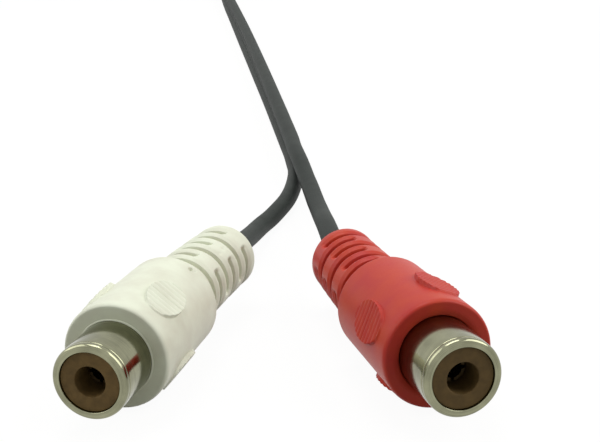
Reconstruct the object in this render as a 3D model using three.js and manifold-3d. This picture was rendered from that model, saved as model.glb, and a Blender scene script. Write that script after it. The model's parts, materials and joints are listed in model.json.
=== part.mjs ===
// An adapter lead: two phono sockets, white and red, on a black twin lead that ends in a five-pin plug.
// Millimetres, +Z up, +Y away from the mouths of the sockets. The sockets stand on z = 0, centred on the origin.
import * as THREE from "three";
import { mergeVertices } from "three/addons/utils/BufferGeometryUtils.js";
import Module from "manifold-3d";

// Fits
const gap = 0.3; // left between pieces that touch or are pressed together
const overcut = 1; // how far a cutter reaches past what it cuts
const roundSides = 24; // sides of the large round pieces
const innerSides = 16; // sides of bores and small round pieces
const pinSides = 10; // sides of pins and straight wires
const wireSides = 6; // sides of bent wires
const wireSteps = 8;

// Phono socket, measured along its axis from the mouth
const shellRadius = 4.15;
const shellWall = 0.84;
const shellLength = 10;
const rimFlatRadius = 3.85;
const rimRoundLength = 0.35;
const shellShown = 6.43; // from the rim to the face of the boot
const insulatorRecess = 0.23;
const insulatorEndSetBack = 0.8;
const pinHoleRadius = 1.69;
const contactStart = 2.9;
const contactWall = 0.34;
const contactFlangeRadius = 2.4;
const contactFlangeThickness = 0.5;
const contactTailRadius = 1.1;
const contactTailLength = 3;
const contactSlit = 0.4;
const contactSlitLength = 6.4;
const lugRingWidth = 1;
const lugRingRadius = 4;
const lugThickness = 0.5;
const lugTailWidth = 1.8;
const lugTailDrop = 2.2;
const lugTailLength = 6.2;
const mouldRadius = 3.6;
const mouldWall = 0.7;
const mouldLength = 9.9;
const mouldEndWall = 0.6;
const mouldEndHole = 2.25;
const jacketStart = 21.7; // where the strand's jacket is stripped back to
const crimpStart = 22.2;
const crimpLength = 3;
const crimpWall = 0.5;

// Boot of a phono socket
const bootFaceRadius = 5.72;
const bootFrontRadius = 5.97;
const bootFrontRound = 0.7;
const bootRearRadius = 5.76;
const shoulderStart = 22.05;
const shoulderLength = 1.35;
const reliefStartRadius = 4.6;
const reliefEndRadius = 4.22;
const reliefEndFaceRadius = 3.03;
const reliefEndRound = 1;
const bootEnd = 39.85;
const firstSlot = 25.45;
const slotPitch = 2.3;
const slotRows = 6;
const slotWidth = 0.9;
const slotDepth = 0.95;
const slotSweep = 146; // degrees
const padCentre = 12.4;
const padHalfLength = 3.6;
const padHalfWidth = 2.35;
const padFace = 6.1; // from the axis to a pad's flat face
const padRoot = 4.8; // from the axis to where a pad starts inside the wall
const padsAround = 4;
const leanStart = 20; // the tail bends sideways from here on

// Where each socket lies: its mouth, the heading of its tail from +Y towards +X and how far it droops from level,
// and its pads' turn from the top
const sockets = {
  white: { mouth: [-18.58, -17.2], heading: 16.27, droop: 0, padTurn: 39, lean: 0.8, colour: 0xe9ead9 },
  red: { mouth: [18.56, -20.68], heading: -15.6, droop: 0.9, padTurn: -67, lean: 0.6, colour: 0xb93a33 },
};

// Twin lead
const strandRadius = 1.4;
const strandSpacing = 3.1;
const strandSides = 8;
const strandSteps = 66;
const strandStepsInBoot = 4;
const coreRadius = 0.65;
const screenRadius = 0.45;
const strandLie = strandRadius + 0.05; // height of a strand that lies on the table

// Five-pin plug, measured along its axis from the rim of its shell
const plugRim = [-5, 354]; // where the rim's centre lies
const plugShellRadius = 6.6;
const plugShellWall = 0.45;
const plugShellLength = 19;
const plugShellShown = 11;
const plugKeyWidth = 2.2;
const plugKeyDepth = 1.15;
const plugKeyStart = 0.6;
const plugKeyLength = 7.8;
const plugInsertFace = 8.8;
const plugInsertThickness = 4;
const plugPins = 5;
const plugPinRadius = 0.72;
const plugPinCircle = 3.5;
const plugPinStart = 1;
const plugPinTip = 0.4;
const plugPinEnd = 17;
const plugBootRadius = 7.6;
const plugBootRound = 0.5;
const plugShoulderStart = 30;
const plugShoulderLength = 3.6;
const plugReliefStartRadius = 5.3;
const plugReliefEndRadius = 4.9;
const plugReliefRound = 0.9;
const plugEnd = 54;
const plugChamberRadius = 5.6;
const plugChamberEnd = 30;
const plugJacketEnd = 24;
const plugCrimpStart = 25;
const plugCrimpLength = 3.5;
const plugSlotRows = 5;
const plugFirstSlot = 36.5;
const plugSlotPitch = 3.2;
const plugSlotWidth = 1.2;
const plugSlotDepth = 0.8;
const plugGrips = 6;
const plugFirstGrip = 15;
const plugGripPitch = 2.2;
const plugGripWidth = 1;
const plugGripDepth = 0.5;
const plugGripSweep = 70; // degrees
const screenSwerve = 1.2; // the screen goes round the cores this far to the side
const wireSwing = [[0, 0], [0.2, 0.15], [0.6, 0.75], [1, 1]]; // shares of a wire's way along and across

// The strands' routes from the boots to where they join: x, y and height of the centre
const whiteLeg = [
  [-5.6, 23.55, 6.05],
  [-5.13, 27.65, 5.25],
  [-4.78, 31.65, 4.35],
  [-4.43, 35.75, 3.43],
  [-3.87, 40.75, 2.44],
  [-2.75, 46.75, 1.72],
  [-1.35, 51.35, 1.5],
  [-0.18, 55.55, 1.45],
  [0.95, 59.95, 1.45],
  [1.75, 64.45, 1.45],
  [2.29, 69.25, 1.45],
  [2.65, 74.25, 1.45],
  [2.74, 79.35, 1.45],
];
const redLeg = [
  [7.67, 22.03, 6.04],
  [7.39, 26.03, 5.94],
  [7.13, 30.23, 5.7],
  [6.83, 35.03, 5.3],
  [6.51, 41.63, 4.3],
  [6.15, 47.45, 3.73],
  [5.75, 52.45, 3.5],
  [5.38, 57.25, 3.45],
  [4.99, 61.65, 3.55],
  [4.51, 65.85, 3.8],
  [4.06, 70.05, 4.15],
  [3.59, 74.35, 4.44],
  [3.07, 79.15, 4.55],
];
// The joined pair: x and y of its middle, and its roll in degrees, where 0 lays the strands side by side
const joined = [
  [2.48, 84.85, 87],
  [2.11, 90.35, 86],
  [1.47, 97.35, 84.5],
  [0.73, 105.35, 83.5],
  [-0.1, 114.35, 82],
  [-1.04, 124.35, 81],
  [-2.17, 136.35, 79.5],
  [-3.51, 150.35, 77],
  [-4.96, 165.35, 74],
  [-6.52, 181.35, 71.5],
  [-8.18, 198.35, 69],
  [-9.96, 216.35, 67],
  [-11.85, 235.35, 66],
  [-13.98, 256.35, 67],
  [-16.24, 278.35, 69],
  [-18.73, 302.35, 71],
  [-21.03, 326.35, 74],
  [-23.08, 350.35, 77],
  [-24.78, 374.35, 80],
  [-26.03, 398.35, 84],
  [-26.83, 422.35, 88],
];
// The fold turns the pair, on edge by now, back towards the sockets
const foldStart = 446;
const foldRadius = 11;
const foldSteps = 8;
// From the fold to the plug: y, and the share of the climb to the plug's axis
const climb = [
  [438, 0],
  [430, 0.16],
  [422, 0.52],
  [414, 0.88],
];

const wasm = await Module();
wasm.setup();

// A closed geometry as a solid: its vertices are merged, empty triangles dropped and its faces turned outwards
function solidOf(geometry) {
  const bare = geometry.clone();
  bare.deleteAttribute("normal");
  bare.deleteAttribute("uv");
  const merged = mergeVertices(bare, 1e-4);
  const at = merged.attributes.position;
  const kept = [];
  let volume = 0;
  const a = new THREE.Vector3();
  const b = new THREE.Vector3();
  const c = new THREE.Vector3();
  for (let i = 0; i < merged.index.count; i += 3) {
    const [p, q, r] = [0, 1, 2].map((k) => merged.index.getX(i + k));
    if (p === q || q === r || r === p) continue;
    a.fromBufferAttribute(at, p);
    b.fromBufferAttribute(at, q);
    c.fromBufferAttribute(at, r);
    volume += a.dot(b.cross(c));
    kept.push(p, q, r);
  }
  if (volume < 0) kept.reverse();
  const mesh = new wasm.Mesh({
    numProp: 3,
    vertProperties: Float32Array.from(at.array),
    triVerts: Uint32Array.from(kept),
  });
  return new wasm.Manifold(mesh);
}

function geometryOf(solid) {
  const mesh = solid.getMesh();
  const geometry = new THREE.BufferGeometry();
  geometry.setAttribute("position", new THREE.BufferAttribute(Float32Array.from(mesh.vertProperties), 3));
  geometry.setIndex(new THREE.BufferAttribute(Uint32Array.from(mesh.triVerts), 1));
  geometry.computeVertexNormals();
  return geometry;
}

// The places of a row of like features
const row = (count, first, pitch) => Array.from({ length: count }, (_, i) => first + i * pitch);

const union = (solids) => solids.reduce((whole, solid) => whole.add(solid));
const cut = (solid, tools) => tools.reduce((rest, tool) => rest.subtract(tool), solid);

// A solid turned about the local Y axis, from [radius, distance along the axis] points
function turned(profile, sides = innerSides) {
  const points = profile.map(([radius, along]) => new THREE.Vector2(radius, along));
  return solidOf(new THREE.LatheGeometry(points, sides));
}

// A tube between two radii along the axis
function sleeve(inner, outer, start, end, sides = innerSides) {
  return turned([[inner, start], [outer, start], [outer, end], [inner, end], [inner, start]], sides);
}

function rod(radius, start, end, sides = pinSides) {
  return turned([[0, start], [radius, start], [radius, end], [0, end]], sides);
}

// A quarter of an ellipse between two [radius, along] points, bulging outwards
function roundEdge([r0, s0], [r1, s1], facesForward, steps = 3) {
  return Array.from({ length: steps + 1 }, (_, i) => {
    const angle = (i / steps) * (Math.PI / 2);
    const radial = facesForward ? Math.sin(angle) : 1 - Math.cos(angle);
    const along = facesForward ? 1 - Math.cos(angle) : Math.sin(angle);
    return [r0 + (r1 - r0) * radial, s0 + (s1 - s0) * along];
  });
}

// An S-shaped shoulder between two radii
function shoulder(r0, r1, start, length, steps = 4) {
  return Array.from({ length: steps + 1 }, (_, i) => {
    const t = i / steps;
    return [r0 + (r1 - r0) * t * t * (3 - 2 * t), start + length * t];
  });
}

// A groove round part of a boot: its floor's radius, width, middle along the axis, and turn and sweep in degrees
function groove(floor, width, middle, turn, sweep) {
  const outside = 2 * floor;
  const half = THREE.MathUtils.degToRad(sweep / 2);
  const down = -Math.PI / 2;
  const shape = new THREE.Shape();
  shape.absarc(0, 0, outside, down - half, down + half, false);
  shape.absarc(0, 0, floor, down + half, down - half, true);
  const steps = Math.ceil(sweep / 36);
  const geometry = new THREE.ExtrudeGeometry(shape, { depth: width, bevelEnabled: false, curveSegments: steps });
  geometry.rotateX(-Math.PI / 2);
  geometry.translate(0, middle - width / 2, 0);
  geometry.rotateY(THREE.MathUtils.degToRad(turn));
  return solidOf(geometry);
}

function box(width, length, height, x, y, z) {
  const geometry = new THREE.BoxGeometry(width, length, height);
  geometry.translate(x, y, z);
  return solidOf(geometry);
}

// A wire or strand of round section through a list of points
function tube(points, radius, sides = wireSides, steps = wireSteps) {
  const path = new THREE.CatmullRomCurve3(points.map((p) => new THREE.Vector3(...p)), false, "centripetal");
  const shape = new THREE.Shape();
  shape.absarc(0, 0, radius, 0, 2 * Math.PI, false);
  return solidOf(new THREE.ExtrudeGeometry(shape, { steps, curveSegments: sides / 2, extrudePath: path }));
}

// A stadium outline standing on end, with round top and bottom
function stadium(halfWidth, halfHeight, start, end) {
  const shape = new THREE.Shape();
  shape.absarc(0, halfHeight - halfWidth, halfWidth, 0, Math.PI, false);
  shape.absarc(0, halfWidth - halfHeight, halfWidth, Math.PI, 2 * Math.PI, false);
  const geometry = new THREE.ExtrudeGeometry(shape, { depth: end - start, bevelEnabled: false, curveSegments: 5 });
  geometry.rotateX(-Math.PI / 2);
  geometry.translate(0, start, 0);
  return solidOf(geometry);
}

const steel = { color: 0xb9bcb0, roughness: 0.25, metalness: 1 };
const brass = { color: 0xc9a55a, roughness: 0.35, metalness: 1 };
const copper = { color: 0xb8693c, roughness: 0.4, metalness: 1 };
const phenolic = { color: 0x55432a, roughness: 0.55, metalness: 0 };
const blackPlastic = { color: 0x26292a, roughness: 0.5, metalness: 0 };
const leadPlastic = { color: 0x33383a, roughness: 0.6, metalness: 0 };
const clearPlastic = { color: 0xd9d5c8, roughness: 0.5, metalness: 0 };
const bootPlastic = (colour) => ({ color: colour, roughness: 0.45, metalness: 0 });

function piece(name, solid, look) {
  const mesh = new THREE.Mesh(geometryOf(solid), new THREE.MeshStandardMaterial(look));
  mesh.name = name;
  return mesh;
}

// Pads of a boot: upright ovals with a flat face
function pads(padTurn) {
  const outline = new THREE.Shape();
  outline.absellipse(0, 0, padHalfWidth, padHalfLength, 0, 2 * Math.PI, false, 0);
  const depth = padFace - padRoot;
  return Array.from({ length: padsAround }, (_, i) => {
    const prism = new THREE.ExtrudeGeometry(outline, { depth, bevelEnabled: false, curveSegments: 7 });
    prism.translate(0, padCentre, padRoot);
    prism.rotateY(THREE.MathUtils.degToRad(padTurn + (i * 360) / padsAround));
    return solidOf(prism);
  });
}

// Cavities of a boot, from the front: the shell's seat, the inner mould, the crimp and the strand
const shellSeat = shellRadius + gap;
const mouldStart = shellLength + gap + lugThickness + gap;
const mouldEnd = mouldStart + mouldLength;
const crimpRadius = strandRadius + gap + crimpWall;
const crimpSeatEnd = crimpStart + crimpLength + gap;
const strandHole = strandRadius + gap;

const leaned = (along, lean) => {
  const past = Math.max(0, (along - leanStart) / (bootEnd - leanStart));
  return lean * past * past;
};

function boot({ padTurn, lean }) {
  const outer = [
    ...roundEdge([bootFaceRadius, shellShown], [bootFrontRadius, shellShown + bootFrontRound], true),
    ...shoulder(bootRearRadius, reliefStartRadius, shoulderStart, shoulderLength),
    ...roundEdge([reliefEndRadius, bootEnd - reliefEndRound], [reliefEndFaceRadius, bootEnd], false),
  ];
  const inner = [
    [strandHole, bootEnd],
    [strandHole, crimpSeatEnd],
    [crimpRadius + gap, crimpSeatEnd],
    [crimpRadius + gap, mouldEnd + gap],
    [mouldRadius + gap, mouldEnd + gap],
    [mouldRadius + gap, mouldStart],
    [shellSeat, mouldStart],
    [shellSeat, shellShown],
  ];
  const body = turned([...outer, ...inner, outer[0]], roundSides);
  const reliefStart = shoulderStart + shoulderLength;
  const slots = row(slotRows, firstSlot, slotPitch).flatMap((middle, i) => {
    const share = (middle - reliefStart) / (bootEnd - reliefStart);
    const floor = THREE.MathUtils.lerp(reliefStartRadius, reliefEndRadius, share) - slotDepth;
    return [0, 180].map((side) => groove(floor, slotWidth, middle, padTurn + side + (i % 2) * 90, slotSweep));
  });
  const whole = cut(union([body, ...pads(padTurn)]), slots);
  return whole.warp((p) => {
    p[0] += leaned(p[1], lean);
  });
}

function shell() {
  const bore = shellRadius - shellWall;
  const rim = roundEdge([rimFlatRadius, 0], [shellRadius, rimRoundLength], true);
  return turned([[bore, 0], ...rim, [shellRadius, shellLength], [bore, shellLength], [bore, 0]], roundSides);
}

const insulatorRadius = shellRadius - shellWall - gap;
const insulatorEnd = shellLength - insulatorEndSetBack;
const insulator = () => sleeve(pinHoleRadius, insulatorRadius, insulatorRecess, insulatorEnd, roundSides);

// The centre contact: a slit tube in the insulator, a flange behind it and a solder tail
const contactFlangeStart = insulatorEnd + gap;
const contactEnd = contactFlangeStart + contactFlangeThickness + contactTailLength;

function contact() {
  const outside = pinHoleRadius - gap;
  const flangeEnd = contactFlangeStart + contactFlangeThickness;
  const body = turned([
    [0, contactFlangeStart - contactFlangeThickness],
    [outside - contactWall, contactFlangeStart - contactFlangeThickness],
    [outside - contactWall, contactStart],
    [outside, contactStart],
    [outside, contactFlangeStart],
    [contactFlangeRadius, contactFlangeStart],
    [contactFlangeRadius, flangeEnd],
    [contactTailRadius, flangeEnd],
    [contactTailRadius, contactEnd],
    [0, contactEnd],
  ]);
  const middle = contactStart - overcut + contactSlitLength / 2;
  const slits = [
    box(contactSlit, contactSlitLength, 2 * outside + overcut, 0, middle, 0),
    box(2 * outside + overcut, contactSlitLength, contactSlit, 0, middle, 0),
  ];
  return cut(body, slits);
}

// The ground lug: a ring behind the shell with a tail bent back under the contact
const lugStart = shellLength + gap;
const lugTailEnd = lugStart + lugTailLength;

function groundLug() {
  const ring = sleeve(lugRingRadius - lugRingWidth, lugRingRadius, lugStart, lugStart + lugThickness);
  const low = lugRingRadius - lugRingWidth / 2;
  const high = lugTailDrop - lugThickness / 2;
  const upright = box(lugTailWidth, lugThickness, low - high, 0, lugStart + lugThickness / 2, -(low + high) / 2);
  const tail = box(lugTailWidth, lugTailLength, lugThickness, 0, (lugStart + lugTailEnd) / 2, -lugTailDrop);
  return union([ring, upright, tail]);
}

function innerMould() {
  return turned([
    [mouldRadius - mouldWall, mouldStart],
    [mouldRadius, mouldStart],
    [mouldRadius, mouldEnd],
    [mouldEndHole, mouldEnd],
    [mouldEndHole, mouldEnd - mouldEndWall],
    [mouldRadius - mouldWall, mouldEnd - mouldEndWall],
    [mouldRadius - mouldWall, mouldStart],
  ]);
}

const coreWire = () => rod(coreRadius, contactEnd + gap, jacketStart - gap);

// The strand's screen, twisted together and soldered to the lug's tail
function screenWire() {
  const beside = coreRadius + screenRadius + gap;
  const start = jacketStart - gap;
  const end = lugTailEnd + gap;
  const points = wireSwing.map(([along, across]) => {
    const drop = THREE.MathUtils.lerp(beside, lugTailDrop, across);
    return [0, THREE.MathUtils.lerp(start, end, along), -drop];
  });
  return tube(points, screenRadius);
}

const crimp = () => sleeve(strandHole, crimpRadius, crimpStart, crimpStart + crimpLength);

function phonoSocket(name, socket) {
  const group = new THREE.Group();
  const [droop, heading] = [socket.droop, socket.heading].map(THREE.MathUtils.degToRad);
  group.rotation.set(-droop, 0, -heading, "ZYX");
  group.position.set(...socket.mouth, 0);
  group.add(
    piece(`${name}_boot`, boot(socket), bootPlastic(socket.colour)),
    piece(`${name}_shell`, shell(), steel),
    piece(`${name}_insulator`, insulator(), phenolic),
    piece(`${name}_contact`, contact(), brass),
    piece(`${name}_ground_lug`, groundLug(), brass),
    piece(`${name}_inner_mould`, innerMould(), clearPlastic),
    piece(`${name}_core_wire`, coreWire(), bootPlastic(socket.colour)),
    piece(`${name}_screen_wire`, screenWire(), copper),
    piece(`${name}_crimp`, crimp(), copper),
  );
  group.position.z = -new THREE.Box3().setFromObject(group, true).min.z;
  group.updateMatrixWorld(true);
  return group;
}

// Five-pin plug
const plugPinTurns = Array.from({ length: plugPins }, (_, i) => -90 + (i * 180) / (plugPins - 1));
const plugInnerRadius = plugShellRadius - plugShellWall;
const pinPlace = (turn) => {
  const angle = THREE.MathUtils.degToRad(turn);
  return [plugPinCircle * Math.sin(angle), plugPinCircle * Math.cos(angle)];
};

function plugShell() {
  const wall = sleeve(plugInnerRadius, plugShellRadius, 0, plugShellLength, roundSides);
  const outer = plugShellRadius - plugShellWall / 2;
  const height = outer - plugInnerRadius + plugKeyDepth;
  const middle = plugKeyStart + plugKeyLength / 2;
  const key = box(plugKeyWidth, plugKeyLength, height, 0, middle, -(outer - height / 2));
  const floor = plugInnerRadius - plugKeyDepth + plugShellWall;
  const depth = plugShellRadius + overcut - floor;
  const [width, length] = [plugKeyWidth, plugKeyLength].map((size) => size - 2 * plugShellWall);
  const pressed = box(width, length, depth, 0, middle, -(floor + depth / 2));
  return wall.add(key).subtract(pressed);
}

function plugInsert() {
  const end = plugInsertFace + plugInsertThickness;
  const disc = rod(plugInnerRadius - gap, plugInsertFace, end, roundSides);
  const holes = plugPinTurns.map((turn) => {
    const [x, z] = pinPlace(turn);
    return rod(plugPinRadius + gap, plugInsertFace - overcut, end + overcut).translate([x, 0, z]);
  });
  return cut(disc, holes);
}

function plugPin(turn) {
  const tip = roundEdge([plugPinRadius / 2, plugPinStart], [plugPinRadius, plugPinStart + plugPinTip], true, 2);
  const [x, z] = pinPlace(turn);
  const upright = turned([[0, plugPinStart], ...tip, [plugPinRadius, plugPinEnd], [0, plugPinEnd]], pinSides);
  return upright.translate([x, 0, z]);
}

function plugBoot() {
  const faceEdge = [plugBootRadius - plugBootRound, plugShellShown];
  const tailEdge = [plugReliefEndRadius - plugReliefRound, plugEnd];
  const outer = [
    [0, plugShellShown],
    ...roundEdge(faceEdge, [plugBootRadius, plugShellShown + plugBootRound], true, 2),
    ...shoulder(plugBootRadius, plugReliefStartRadius, plugShoulderStart, plugShoulderLength),
    ...roundEdge([plugReliefEndRadius, plugEnd - plugReliefRound], tailEdge, false, 2),
    [0, plugEnd],
  ];
  const cavity = turned([
    [0, plugShellShown - overcut],
    [plugShellRadius + gap, plugShellShown - overcut],
    [plugShellRadius + gap, plugShellLength + gap],
    [plugChamberRadius, plugShellLength + gap],
    [plugChamberRadius, plugChamberEnd],
    [0, plugChamberEnd],
  ], roundSides);
  const end = plugEnd + overcut;
  const twinHole = stadium(strandHole, strandHole + strandSpacing / 2, plugChamberEnd - overcut, end);
  const slotFloor = plugReliefEndRadius - plugSlotDepth;
  const gripFloor = plugBootRadius - plugGripDepth;
  const grooves = [0, 180].flatMap((side) => [
    ...row(plugSlotRows, plugFirstSlot, plugSlotPitch).map((middle, i) =>
      groove(slotFloor, plugSlotWidth, middle, side + (i % 2) * 90, slotSweep)),
    ...row(plugGrips, plugFirstGrip, plugGripPitch).map((middle) =>
      groove(gripFloor, plugGripWidth, middle, side + 90, plugGripSweep)),
  ]);
  return cut(turned(outer, roundSides), [cavity, twinHole, ...grooves]);
}

function plugCrimp() {
  const end = plugCrimpStart + plugCrimpLength;
  const across = strandHole + strandSpacing / 2;
  const band = stadium(strandHole + crimpWall, across + crimpWall, plugCrimpStart, end);
  return band.subtract(stadium(strandHole, across, plugCrimpStart - overcut, end + overcut));
}

// A wire from the strands to a pin: lift is its height from the plug's axis where it leaves them
function plugWire(turn, lift, radius, swerve) {
  const [x, z] = pinPlace(turn);
  const points = wireSwing.map(([along, across]) => [
    x * across - swerve * Math.sin(Math.PI * across),
    THREE.MathUtils.lerp(plugJacketEnd - gap, plugPinEnd + gap, along),
    THREE.MathUtils.lerp(lift, z, across),
  ]);
  return tube(points, radius);
}

const plugWhiteCore = () => plugWire(plugPinTurns[0], -strandSpacing / 2, coreRadius, 0);
const plugRedCore = () => plugWire(plugPinTurns[plugPins - 1], strandSpacing / 2, coreRadius, 0);
const plugScreen = () => plugWire(plugPinTurns[(plugPins - 1) / 2], 0, screenRadius, screenSwerve);

function fivePinPlug() {
  const group = new THREE.Group();
  group.position.set(...plugRim, plugBootRadius);
  group.add(piece("plug_shell", plugShell(), steel));
  group.add(piece("plug_insert", plugInsert(), blackPlastic));
  plugPinTurns.forEach((turn, i) => group.add(piece(`plug_pin_${i + 1}`, plugPin(turn), brass)));
  group.add(
    piece("plug_boot", plugBoot(), blackPlastic),
    piece("plug_crimp", plugCrimp(), copper),
    piece("plug_white_core", plugWhiteCore(), bootPlastic(sockets.white.colour)),
    piece("plug_red_core", plugRedCore(), bootPlastic(sockets.red.colour)),
    piece("plug_screen_wire", plugScreen(), copper),
  );
  return group;
}

// A point on a socket's axis, which leans sideways towards its tail
const axisPoint = (group, { lean }, along) =>
  group.localToWorld(new THREE.Vector3(leaned(along, lean), along, 0)).toArray();

// The middle of the pair and its sideways direction, from where the strands join to the plug
function pairRoute() {
  const centre = plugRim[0] - foldRadius;
  const stations = joined.map(([x, y, roll]) => ({ x, y, roll, lift: 0 }));
  for (let i = 0; i <= foldSteps; i += 1) {
    const angle = Math.PI - (i * Math.PI) / foldSteps;
    const x = centre + foldRadius * Math.cos(angle);
    stations.push({ x, y: foldStart + foldRadius * Math.sin(angle), roll: 90, lift: 0 });
  }
  const rise = plugBootRadius - strandLie - strandSpacing / 2;
  climb.forEach(([y, share]) => stations.push({ x: plugRim[0], y, roll: 90, lift: share * rise }));
  for (const along of [plugEnd, (plugEnd + plugChamberEnd) / 2, plugChamberEnd, plugJacketEnd]) {
    stations.push({ x: plugRim[0], y: plugRim[1] + along, roll: 90, lift: rise });
  }
  return stations;
}

// A strand's centre along the pair: side is -1 for the white strand and 1 for the red one
function strandRoute(group, socket, leg, side) {
  const pitch = (bootEnd - jacketStart) / strandStepsInBoot;
  const inBoot = row(strandStepsInBoot + 1, jacketStart, pitch).map((along) =>
    axisPoint(group, socket, along),
  );
  const pair = pairRoute().map(({ x, y, roll, lift }) => {
    const angle = THREE.MathUtils.degToRad(roll);
    const half = strandSpacing / 2;
    const height = strandLie + half * Math.sin(angle) + lift;
    return [x + side * half * Math.cos(angle), y, height + side * half * Math.sin(angle)];
  });
  return [...inBoot, ...leg, ...pair];
}

const strand = (...route) => tube(strandRoute(...route), strandRadius, strandSides, strandSteps);

const whiteSocket = phonoSocket("white", sockets.white);
const redSocket = phonoSocket("red", sockets.red);
const lead = new THREE.Group();
lead.add(
  whiteSocket,
  redSocket,
  piece("white_strand", strand(whiteSocket, sockets.white, whiteLeg, -1), leadPlastic),
  piece("red_strand", strand(redSocket, sockets.red, redLeg, 1), leadPlastic),
  fivePinPlug(),
);

export default lead;
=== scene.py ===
import json
import math

import bmesh
import bpy
import numpy as np
from bpy.props import FloatProperty, FloatVectorProperty, IntProperty, PointerProperty
from bpy.types import NodeSocket, Operator, Panel, PropertyGroup
from mathutils import Matrix, Vector


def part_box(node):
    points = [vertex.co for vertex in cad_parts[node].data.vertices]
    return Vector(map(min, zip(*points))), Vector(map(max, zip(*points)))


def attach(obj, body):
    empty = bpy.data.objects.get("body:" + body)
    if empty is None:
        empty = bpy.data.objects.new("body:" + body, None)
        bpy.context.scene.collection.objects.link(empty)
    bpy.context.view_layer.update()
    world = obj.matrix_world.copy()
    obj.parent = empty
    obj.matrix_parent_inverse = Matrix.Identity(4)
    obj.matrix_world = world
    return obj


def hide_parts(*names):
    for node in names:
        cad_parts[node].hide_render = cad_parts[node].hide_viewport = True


bl_info = {
    "name": "Adapter Lead",
    "version": (1, 0, 0),
    "blender": (4, 5, 0),
    "location": "View3D > Sidebar > Adapter Lead",
    "description": "Phono sockets on a twin lead with a five-pin plug, dressed on their packed solids",
    "category": "Object",
}

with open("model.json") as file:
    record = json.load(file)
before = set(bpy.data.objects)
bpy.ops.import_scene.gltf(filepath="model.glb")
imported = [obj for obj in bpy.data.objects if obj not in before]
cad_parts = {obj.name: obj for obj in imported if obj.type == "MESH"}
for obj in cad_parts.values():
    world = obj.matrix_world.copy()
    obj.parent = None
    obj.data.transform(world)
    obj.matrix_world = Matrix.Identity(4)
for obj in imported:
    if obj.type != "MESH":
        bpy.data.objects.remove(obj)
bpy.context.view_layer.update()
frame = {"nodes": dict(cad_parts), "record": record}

MM = 0.001
BODY = "root"
CHANNELS = ("white", "red")


# Sizes and colours that a user would change


def length(name, description, millimetres):
    """A size in metres, given in millimetres."""
    return FloatProperty(name=name, description=description, default=millimetres * MM, unit="LENGTH")


def angle(name, description, degrees):
    """An angle in radians, given in degrees."""
    return FloatProperty(name=name, description=description, default=math.radians(degrees), unit="ROTATION")


def colour(name, description, red, green, blue):
    """A linear colour."""
    return FloatVectorProperty(
        name=name, description=description, default=(red, green, blue), subtype="COLOR", min=0, max=1
    )


def power(name, description, watts):
    """A lamp's power."""
    return FloatProperty(name=name, description=description, default=watts, unit="POWER")


def whole(name, description, number):
    """How many there are."""
    return IntProperty(name=name, description=description, default=number, min=1)


class SocketSizes(PropertyGroup):
    """A phono socket, measured along its axis from the mouth."""

    shell_radius: length("Shell radius", "Outside of the plated shell", 4.15)
    bore_radius: length("Bore radius", "Inside of the plated shell", 3.31)
    rim_flat: length("Rim flat", "Outer radius of the shell's flat front ring", 3.78)
    rim_round: length("Rim round", "Length of the rounding round the rim", 0.5)
    rim_groove: length("Rim groove", "Depth of the shallow groove behind the rim", 0.06)
    shell_length: length("Shell length", "From the rim to the hidden end", 10.0)
    insulator_recess: length("Insulator recess", "How far the insulator lies behind the rim", 0.22)
    hole_radius: length("Hole radius", "Hole for the plug's pin", 1.69)
    insulator_end: length("Insulator end", "Hidden end of the insulator", 9.2)
    face: length("Boot face", "From the rim to the front face of the boot", 6.43)
    face_radius: length("Face radius", "Flat part of the boot's front face", 5.62)
    front_radius: length("Front radius", "Boot just behind its front edge", 5.97)
    front_round: length("Front round", "Length of the rounding of the front edge", 0.62)
    rear_radius: length("Rear radius", "Boot just before the shoulder", 5.76)
    shoulder: length("Shoulder", "Where the shoulder starts", 22.05)
    shoulder_length: length("Shoulder length", "From the boot's body down to the relief", 1.35)
    relief_radius: length("Relief radius", "Strain relief at the shoulder", 4.6)
    tail_radius: length("Tail radius", "Strain relief at its end", 4.22)
    tail_round: length("Tail round", "Rounding of the relief's end", 1.0)
    boot_end: length("Boot end", "From the rim to the end of the relief", 39.85)
    lean_start: length("Lean start", "Where the relief starts to bend to the side", 20.0)
    first_slot: length("First slot", "Middle of the slot next to the shoulder", 25.45)
    slot_pitch: length("Slot pitch", "From slot to slot", 2.3)
    slot_rows: whole("Slot rows", "Rows of slots along the relief", 6)
    slot_width: length("Slot width", "Width of a slot", 0.92)
    slot_depth: length("Slot depth", "Depth of a slot", 0.95)
    slot_sweep: angle("Slot sweep", "How far a slot runs round the relief", 146)
    pad_centre: length("Pad centre", "Middle of the grip pads", 12.4)
    pad_half_length: length("Pad half length", "Half of a pad along the boot", 3.6)
    pad_half_width: length("Pad half width", "Half of a pad round the boot", 2.35)
    pad_face: length("Pad face", "From the axis to a pad's flat face", 6.1)
    rib_pitch: length("Rib pitch", "From rib to rib on a pad", 0.78)
    rib_height: length("Rib height", "Height of a rib on a pad", 0.14)


class LeadSizes(PropertyGroup):
    """The twin lead."""

    strand_radius: length("Strand radius", "Radius of one strand", 1.4)
    spacing: length("Spacing", "From the middle of one strand to the other", 3.0)
    lie: length("Lie", "Height of a strand's middle where it lies on the table", 1.45)
    web_half_width: length("Web half width", "Half width of the web that joins the strands", 0.6)
    web_half_thickness: length("Web half thickness", "Half thickness of the web", 0.9)
    web_start: length("Web start", "How far along Y the strands are torn apart", 84.0)


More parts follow.
